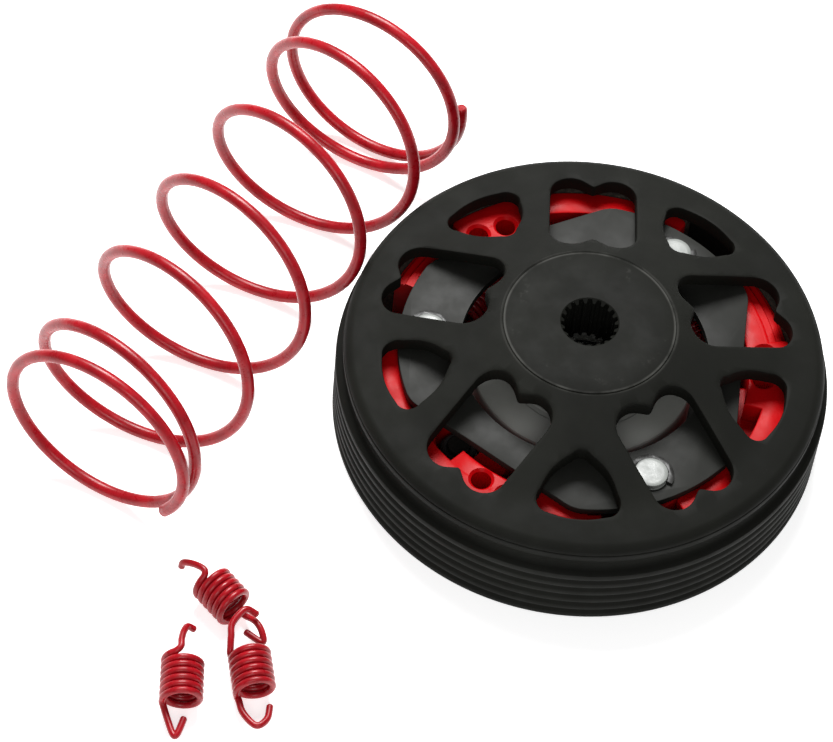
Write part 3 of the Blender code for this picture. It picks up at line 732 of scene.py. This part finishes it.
def make_bell(paint):
    cutters = []
    for index in range(OPENINGS_EACH):
        azimuth = HEART_AZIMUTH + index * 2 * math.pi / OPENINGS_EACH
        cutters.append(window_cutter(heart_bar(), azimuth))
        cutters.append(window_cutter(shield(), azimuth + math.pi / OPENINGS_EACH))
    mesh = fused(turned(bell_profile(), BELL_SEGMENTS), removed=cutters)
    put("bell_shell", mesh, "bell", paint, "clutch_bell")


def make_hub(paint):
    disc = [
        (2 * MM, HUB_TOP),
        (2 * MM, HUB_BOSS[1]),
        (HUB_BOSS[0] - 0.5 * MM, HUB_BOSS[1]),
        (HUB_BOSS[0], HUB_BOSS[1] + 0.5 * MM),
        (HUB_BOSS[0], HUB_DISC_Z - 0.8 * MM),
        (HUB_BOSS[0] + 0.8 * MM, HUB_DISC_Z),
        (HUB_R, HUB_DISC_Z),
        (HUB_R, HUB_TOP - 0.35 * MM),
        (HUB_R - 0.12 * MM, HUB_TOP - 0.12 * MM),
        (HUB_R - 0.35 * MM, HUB_TOP),
        (16 * MM, HUB_TOP),
        (10 * MM, HUB_TOP),
    ]
    teeth = []
    gap = ((0.0, 0.94), (0.08, 1.0), (0.4, 1.0), (0.48, 0.94))
    crest = ((0.6, 0.0), (0.68, -0.04), (0.8, -0.04), (0.88, 0.0))
    for tooth in range(SPLINE_TEETH):
        for part, share in gap + crest:
            radius = SPLINE_TIP_R + share * (SPLINE_ROOT_R - SPLINE_TIP_R)
            teeth.append(polar(radius, 2 * math.pi * (tooth + part) / SPLINE_TEETH))
    bore = prism(teeth, HUB_BOSS[1] - 5 * MM, HUB_TOP + 5 * MM)
    mouth = stacked(
        [
            at_height(circle(SPLINE_TIP_R - 0.6 * MM, 96), HUB_TOP - 1.5 * MM),
            at_height(circle(SPLINE_ROOT_R + SPLINE_MOUTH, 96), HUB_TOP + 0.01 * MM),
            at_height(circle(SPLINE_ROOT_R + SPLINE_MOUTH, 96), HUB_TOP + 2 * MM),
        ]
    )
    mesh = fused(turned(disc, 192), removed=[bore, mouth])
    put("splined_hub", mesh, "bell", paint, "bell_hub")


# ---------------------------------------------------------------- clutch


def pin_angles():
    return [PIN_AZIMUTH + index * 2 * math.pi / SETS for index in range(SETS)]


def damper_centre(pin_angle):
    return polar(DAMPER_AT[0], pin_angle + DAMPER_AT[1])


def make_drive_plate(steel):
    groove_in, groove_out = DISH_GROOVE_R
    profile = [
        (SHAFT_HOLE_R + 0.4 * MM, DISH_TOP),
        (SHAFT_HOLE_R, DISH_TOP - 0.4 * MM),
        (SHAFT_HOLE_R, DISH_TOP - DISH_WALL),
        (DISH_R - DISH_WALL - 1.5 * MM, DISH_TOP - DISH_WALL),
        (DISH_R - DISH_WALL, DISH_TOP - DISH_WALL - 1.5 * MM),
        (DISH_R - DISH_WALL, 0.8 * MM),
        (DISH_R - DISH_WALL + 0.8 * MM, 0.0),
        (PLATE_R - 0.4 * MM, 0.0),
        (PLATE_R, 0.4 * MM),
        (PLATE_R, PLATE_THICK - 0.5 * MM),
        (PLATE_R - 0.5 * MM, PLATE_THICK),
        (DISH_R + 1.2 * MM, PLATE_THICK),
        (DISH_R + 0.35 * MM, PLATE_THICK + 0.35 * MM),
        (DISH_R, PLATE_THICK + 1.2 * MM),
        (DISH_R, DISH_TOP - 1.0 * MM),
        (DISH_R - 0.3 * MM, DISH_TOP - 0.3 * MM),
        (DISH_R - 1.0 * MM, DISH_TOP),
        (groove_out, DISH_TOP),
        (groove_out - 0.4 * MM, DISH_TOP - DISH_GROOVE_DEPTH),
        (groove_in + 0.4 * MM, DISH_TOP - DISH_GROOVE_DEPTH),
        (groove_in, DISH_TOP),
    ]
    posts = []
    holes = []
    for angle in pin_angles():
        post = circle(DAMPER_POST_R, 40, damper_centre(angle))
        posts.append(prism(post, 2 * MM, DAMPER_POST_Z, 0.4 * MM))
        hole = circle(PIN_R + HOLE_GAP, 48, polar(PIN_CIRCLE_R, angle))
        holes.append(prism(hole, -1 * MM, PLATE_THICK + 1 * MM))
    mesh = fused(turned(profile, 144), posts, holes)
    put("drive_plate_dished", mesh, "clutch_base", steel, "drive_plate")


def side_plate_outline():
    """A round plate with a flat between each two pins, its corners rounded."""
    corner_reach = SIDE_PLATE_R - SIDE_PLATE_CORNER
    corner_angle = math.acos((SIDE_PLATE_FLAT - SIDE_PLATE_CORNER) / corner_reach)
    outline = []
    for pin_angle in pin_angles():
        flat = pin_angle + math.pi / SETS
        for centre_angle, first in ((flat - corner_angle, flat - corner_angle), (flat + corner_angle, flat)):
            cx, cy = polar(corner_reach, centre_angle)
            for step in range(11):
                x, y = polar(SIDE_PLATE_CORNER, first + corner_angle * step / 10)
                outline.append((cx + x, cy + y))
        start = flat + corner_angle
        end = flat + 2 * math.pi / SETS - corner_angle
        outline += [polar(SIDE_PLATE_R, start + (end - start) * step / 18) for step in range(1, 18)]
    return outline


def make_side_plate(steel):
    low, high = SIDE_PLATE_Z
    holes = [prism(circle(SIDE_PLATE_HOLE_R, 144), low - 1 * MM, high + 1 * MM)]
    for angle in pin_angles():
        hole = circle(PIN_R + HOLE_GAP, 48, polar(PIN_CIRCLE_R, angle))
        holes.append(prism(hole, low - 1 * MM, high + 1 * MM))
    mesh = fused(prism(side_plate_outline(), low, high, 0.3 * MM), removed=holes)
    put("side_plate_fine", mesh, "clutch_base", steel, "side_plate")


def pin_mesh():
    """A headed pin with a neck under its head for the clip."""
    low, high = PIN_Z
    neck_low, neck_high = PIN_NECK_Z
    shape = [
        (PIN_R - 0.4 * MM, low),
        (PIN_R, low + 0.4 * MM),
        (PIN_R, neck_low - 0.2 * MM),
        (PIN_R - 0.2 * MM, neck_low),
        (PIN_NECK_R, neck_low),
        (PIN_NECK_R, neck_high),
        (PIN_R - 0.1 * MM, neck_high),
        (PIN_R, neck_high + 0.1 * MM),
        (PIN_R, high - 0.4 * MM),
        (PIN_R - 0.12 * MM, high - 0.14 * MM),
        (PIN_R - 0.4 * MM, high - 0.03 * MM),
        (PIN_R - 1.2 * MM, high),
    ]
    return stacked([at_height(circle(radius, 64), height) for radius, height in shape])


def clip_outline():
    """An E-clip: a ring open on one side, gripping the neck at three short pads."""
    grip, relief, outer = CLIP_R
    sweep = 2 * math.pi - 2 * CLIP_MOUTH
    shares = [step / CLIP_STEPS for step in range(CLIP_STEPS + 1)]
    outline = [polar(outer, CLIP_MOUTH + sweep * share) for share in shares]
    for share in reversed(shares):
        angle = CLIP_MOUTH + sweep * share
        near_pad = min(abs(share - 0.04), abs(share - 0.5), abs(share - 0.96)) < 0.07
        outline.append(polar(grip if near_pad else relief, angle))
    return outline


def make_pins(steel, clip):
    for number, angle in enumerate(pin_angles(), start=1):
        spot = polar(PIN_CIRCLE_R, angle)
        put(f"pin_{number}", pin_mesh(), "clutch_base", steel, f"pivot_pin_{number}", spot)
        ring = prism(clip_outline(), *CLIP_Z, 0.08 * MM)
        put(f"clip_{number}", ring, "clutch_base", clip, f"e_clip_{number}", spot, angle)


def from_pin(outline):
    """The outline moved into its shoe's own frame, whose origin is the pin."""
    return [(x - PIN_CIRCLE_R, y) for x, y in outline]


def toe_sweep():
    """The rim's toe: its top goes down outwards in rounded steps."""
    low, high = SHOE_Z
    gap = 0.02 * MM
    section = [(RIM_R + gap + 0.4 * MM, low + gap), (RIM_R + gap, low + 0.4 * MM)]
    section += [(RIM_R + gap, high - 0.5 * MM), (RIM_R + 0.5 * MM, high - gap)]
    height = high - gap
    for radius, lower in TOE_STEPS:
        drop = height - lower
        section += [(radius - 0.3 * MM, height), (radius, height - 0.35 * drop)]
        section.append((radius + 0.1 * MM, lower))
        height = lower
    section += [(SHOE_R - gap - 0.3 * MM, height), (SHOE_R - gap, height - 0.3 * MM)]
    section += [(SHOE_R - gap, low + 0.4 * MM), (SHOE_R - gap - 0.4 * MM, low + gap)]
    start = TOE_START - TOE_OVERLAP
    rings = []
    for step in range(TOE_SECTIONS + 1):
        angle = start + (RIM_SPAN[1] - start) * step / TOE_SECTIONS
        ring = [(*polar(radius, angle), z) for radius, z in section]
        rings.append([(x - PIN_CIRCLE_R, y, z) for x, y, z in ring])
    return stacked(rings)


def shoe_mesh():
    """A cast shoe in its pin's frame: +X outwards, its body towards +Y."""
    low, high = SHOE_Z
    soft = 0.5 * MM
    rim = from_pin(sector(RIM_R, SHOE_R, RIM_SPAN[0], TOE_START, 64, 1.2 * MM))
    pad = from_pin(sector(PAD_R, RIM_R + 2 * MM, *PAD_SPAN, 30))
    web = from_pin(sector(WEB_R, RIM_R + 1 * MM, *WEB_SPAN, 40))
    ledge = from_pin(sector(LEDGE_R, RIM_R + 1 * MM, *LEDGE_SPAN, 12))
    tab = from_pin(sector(*HEEL_TAB_R, *HEEL_TAB_SPAN, 12, 1.0 * MM))
    joined = [
        toe_sweep(),
        prism(circle(BOSS_R, 64), low, high, soft),
        prism(pad, low + 1 * MM, high - 0.05 * MM, soft),
        prism(web, *WEB_Z, 0.4 * MM),
        prism(ledge, WEB_Z[0], LEDGE_Z, 0.4 * MM),
        prism(tab, low, LEDGE_Z, 0.4 * MM),
    ]
    for place in (TOE_POST, HEEL_POST):
        post = from_pin(circle(POST_R, 28, polar(*place)))
        joined.append(prism(post, WEB_Z[0] + 1 * MM, POST_TOP, 0.3 * MM))
    removed = [
        prism(circle(PIN_R + HOLE_GAP, 48), low - 1 * MM, high + 1 * MM),
        prism(from_pin(circle(DAMPER_HOLE_R, 48, polar(*DAMPER_AT))), low - 1 * MM, high + 1 * MM),
    ]
    for spot in RIM_HOLES:
        centre = from_pin([polar(*spot)])[0]
        removed.append(
            stacked(
                [
                    at_height(circle(RIM_HOLE_R, 40, centre), RIM_HOLE_FLOOR),
                    at_height(circle(RIM_HOLE_R, 40, centre), high - 0.8 * MM),
                    at_height(circle(RIM_HOLE_R + RIM_HOLE_FLARE, 40, centre), high + 0.05 * MM),
                ]
            )
        )
    return fused(prism(rim, low, high, soft), joined, removed)


def damper_mesh():
    low, high = DAMPER_Z
    profile = [
        (DAMPER_POST_R + 0.15 * MM, low + 0.4 * MM),
        (DAMPER_POST_R + 0.5 * MM, low),
        (DAMPER_R - 0.8 * MM, low),
        (DAMPER_R, low + 0.8 * MM),
        (DAMPER_R, high - 0.8 * MM),
        (DAMPER_R - 0.8 * MM, high),
        (DAMPER_POST_R + 0.5 * MM, high),
        (DAMPER_POST_R + 0.15 * MM, high - 0.4 * MM),
    ]
    return turned(profile, 56)


def make_shoes(paint, compound, rubber):
    shoe = shoe_mesh()
    pad = prism(from_pin(sector(*LINING_R, *LINING_SPAN, 64, 0.6 * MM)), *LINING_Z, 0.4 * MM)
    ring = damper_mesh()
    for number, angle in enumerate(pin_angles(), start=1):
        spot = polar(PIN_CIRCLE_R, angle)
        body = f"shoe_arm_{number}"
        name, node = f"shoe_cast_{number}", f"shoe_{number}"
        put(name, shoe.copy(), body, paint, node, spot, angle)
        name, node = f"shoe_lining_{number}", f"lining_{number}"
        put(name, pad.copy(), body, compound, node, spot, angle)
        name, node, centre = f"damper_ring_{number}", f"damper_{number}", damper_centre(angle)
        put(name, ring.copy(), "clutch_base", rubber, node, centre)


# ---------------------------------------------------------------- springs


def close_wound(turns, start_angle, near_hook, far_hook):
    """A close-wound spring along +X about its own middle, with a hook at each end."""
    count = round(turns * SMALL_STEPS_PER_TURN)
    half_body = SMALL_PITCH * turns / 2
    body = []
    for step in range(count + 1):
        angle = start_angle + 2 * math.pi * turns * step / count
        body.append(Vector((-half_body + 2 * half_body * step / count, *polar(SMALL_COIL_R, angle))))
    near = [Vector((-half_body - out, y, z)) for out, y, z in near_hook]
    far = [Vector((half_body + out, y, z)) for out, y, z in far_hook]
    near_path = smooth_path([*reversed(near), body[0], body[4]], HOOK_STEPS)[: -HOOK_STEPS - 1]
    far_path = smooth_path([body[-5], body[-1], *far], HOOK_STEPS)[HOOK_STEPS + 1 :]
    return near_path + body + far_path


def post_hook(side, shank):
    """An open hook that lies flat round a shoe's post."""
    bend = SHOE_HOOK_BEND
    points = [
        (0.25 * shank, side * 0.55 * bend, 0.75 * SMALL_COIL_R),
        (0.55 * shank, side * bend, 0.25 * SMALL_COIL_R),
    ]
    for step in range(5):
        swing = math.pi * step / 4
        points.append((shank + bend * math.sin(swing), side * bend * math.cos(swing), 0.0))
    points.append((shank - 1.0 * MM, -side * bend, 0.0))
    return points


def make_torque_spring(coat):
    """A spring lying on its side along Y, its end turns closed and the others evenly spread."""
    count = int(TORQUE_TURNS * TORQUE_STEPS_PER_TURN)
    closed_pitch = 2 * TORQUE_WIRE_R + TORQUE_CLOSED_GAP
    closed_near, closed_far = TORQUE_CLOSED_TURNS

    def open_share(turns):
        start = 1 / (1 + math.exp(-(turns - closed_near) / TORQUE_CLOSED_BLEND))
        end = 1 / (1 + math.exp(-((TORQUE_TURNS - turns) - closed_far) / TORQUE_CLOSED_BLEND))
        return start * end

    shares = [open_share(TORQUE_TURNS * step / count) for step in range(count + 1)]
    per_step = TORQUE_TURNS / count
    opening = (TORQUE_LENGTH - closed_pitch * TORQUE_TURNS) / (sum(shares[1:]) * per_step)
    path = []
    along = 0.0
    for index, share in enumerate(shares):
        if index:
            along += (closed_pitch + opening * share) * per_step
        angle = TORQUE_PHASE - 2 * math.pi * TORQUE_TURNS * index / count
        sideways, up = polar(TORQUE_COIL_R, angle)
        height = TORQUE_COIL_R + TORQUE_WIRE_R + up
        path.append((TORQUE_X - sideways, TORQUE_START_Y + along + TORQUE_LEAN * up, height))
    mesh = tube(path, TORQUE_WIRE_R, TORQUE_WIRE_SIDES)
    body, node = "torque_spring_loose", "torque_spring"
    put("torque_spring_wire", mesh, body, coat, node, sharp=WIRE_SHARP)


def make_shoe_springs(coat):
    for number, angle in enumerate(pin_angles(), start=1):
        toe = Vector((*polar(TOE_POST[0], angle + TOE_POST[1]), SHOE_SPRING_Z))
        following = angle + 2 * math.pi / SETS
        heel = Vector((*polar(HEEL_POST[0], following + HEEL_POST[1]), SHOE_SPRING_Z))
        run = heel - toe
        shank = (run.length - SMALL_PITCH * SHOE_SPRING_TURNS) / 2
        hooks = (post_hook(1, shank), post_hook(-1, shank))
        path = close_wound(SHOE_SPRING_TURNS, math.pi / 2, *hooks)
        spin = Matrix.Rotation(math.atan2(run.y, run.x), 4, "Z")
        placing = Matrix.Translation((toe + heel) / 2) @ spin
        mesh = tube([placing @ point for point in path], SMALL_WIRE_R, SMALL_WIRE_SIDES)
        name, node = f"shoe_spring_wire_{number}", f"shoe_spring_{number}"
        put(name, mesh, "clutch_base", coat, node, sharp=WIRE_SHARP)


def make_loose_springs(coat):
    for letter, (x, y), azimuth, turns, start_angle, near_hook, far_hook in LOOSE_SPRINGS:
        near = [tuple(part * MM for part in point) for point in near_hook]
        far = [tuple(part * MM for part in point) for point in far_hook]
        path = close_wound(turns, start_angle, near, far)
        spot = Matrix.Translation((x * MM, y * MM, SMALL_REST))
        spin = Matrix.Rotation(math.radians(azimuth), 4, "Z")
        placing = Matrix.Rotation(VIEW_TURN, 4, "Z") @ spot @ spin
        mesh = tube([placing @ point for point in path], SMALL_WIRE_R, SMALL_WIRE_SIDES)
        name, body, node = f"loose_spring_wire_{letter}", f"small_spring_{letter}", f"loose_spring_{letter}"
        put(name, mesh, body, coat, node, sharp=WIRE_SHARP)


# ---------------------------------------------------------------- room


def make_room():
    bpy.ops.mesh.primitive_plane_add(size=FLOOR_SIZE, location=(AXIS.x, AXIS.y, -FLOOR_DROP))
    floor = bpy.context.object
    floor.name = "floor"
    look = Look("pale_floor", 0.9, specular=0.1)
    mottle = look.span(look.noise(3.0), 0.3, 0.7)
    look.colour(look.blend(mottle, rgb(0.90, 0.90, 0.90), rgb(0.92, 0.92, 0.92)))
    look.shader.inputs["Emission Color"].default_value = rgb(1.0, 1.0, 1.0)
    # The floor glows white, a painted light, away from the bell and not under it, which paints shade under
    # the bell
    glow = look.span(look.distance(), *FLOOR_GLOW_R, 0.0, FLOOR_GLOW)
    look.feed(look.shader.inputs["Emission Strength"], glow)
    floor.data.materials.append(look.material)
    world = bpy.data.worlds.new("studio")
    bpy.context.scene.world = world
    world.use_nodes = True
    world.node_tree.nodes["Background"].inputs["Color"].default_value = rgb(1.0, 1.0, 1.0)
    world.node_tree.nodes["Background"].inputs["Strength"].default_value = WORLD_STRENGTH
    turn = Matrix.Rotation(VIEW_TURN, 4, "Z")
    for name, spot, size, power in LIGHTS:
        data = bpy.data.lights.new(name, "AREA")
        data.shape = "SQUARE"
        data.size = size
        data.energy = power
        lamp = bpy.data.objects.new(name, data)
        bpy.context.scene.collection.objects.link(lamp)
        place = turn @ Vector(spot)
        lamp.location = AXIS + place
        lamp.rotation_mode = "QUATERNION"
        lamp.rotation_quaternion = (-place).to_track_quat("-Z", "Y")


def make_camera():
    data = bpy.data.cameras.new("photo_camera")
    data.sensor_width = SENSOR_MM
    data.lens = LENS_MM
    data.clip_start, data.clip_end = CAMERA_CLIP
    camera = bpy.data.objects.new("photo_camera", data)
    bpy.context.scene.collection.objects.link(camera)
    tilt = Matrix.Rotation(CAMERA_TILT, 4, "X") @ Matrix.Rotation(CAMERA_ROLL, 4, "Z")
    turned_place = Matrix.Rotation(VIEW_TURN, 4, "Z") @ Matrix.Translation(CAMERA_AT)
    camera.matrix_world = Matrix.Translation(AXIS) @ turned_place @ tilt
    bpy.context.scene.camera = camera
    bpy.context.scene.view_settings.view_transform = "Standard"


def main():
    coat = spring_coat()
    make_bell(black_paint("bell_black_paint", *BELL_PAINT))
    make_hub(black_paint("hub_black_paint", *HUB_PAINT))
    make_drive_plate(plate_steel("drive_plate_steel", DISH_R))
    make_side_plate(plate_steel("side_plate_steel"))
    make_pins(bright_steel(), clip_steel())
    make_shoes(red_paint(), lining_compound(), damper_rubber())
    make_torque_spring(coat)
    make_shoe_springs(coat)
    make_loose_springs(coat)
    make_room()
    make_camera()


main()
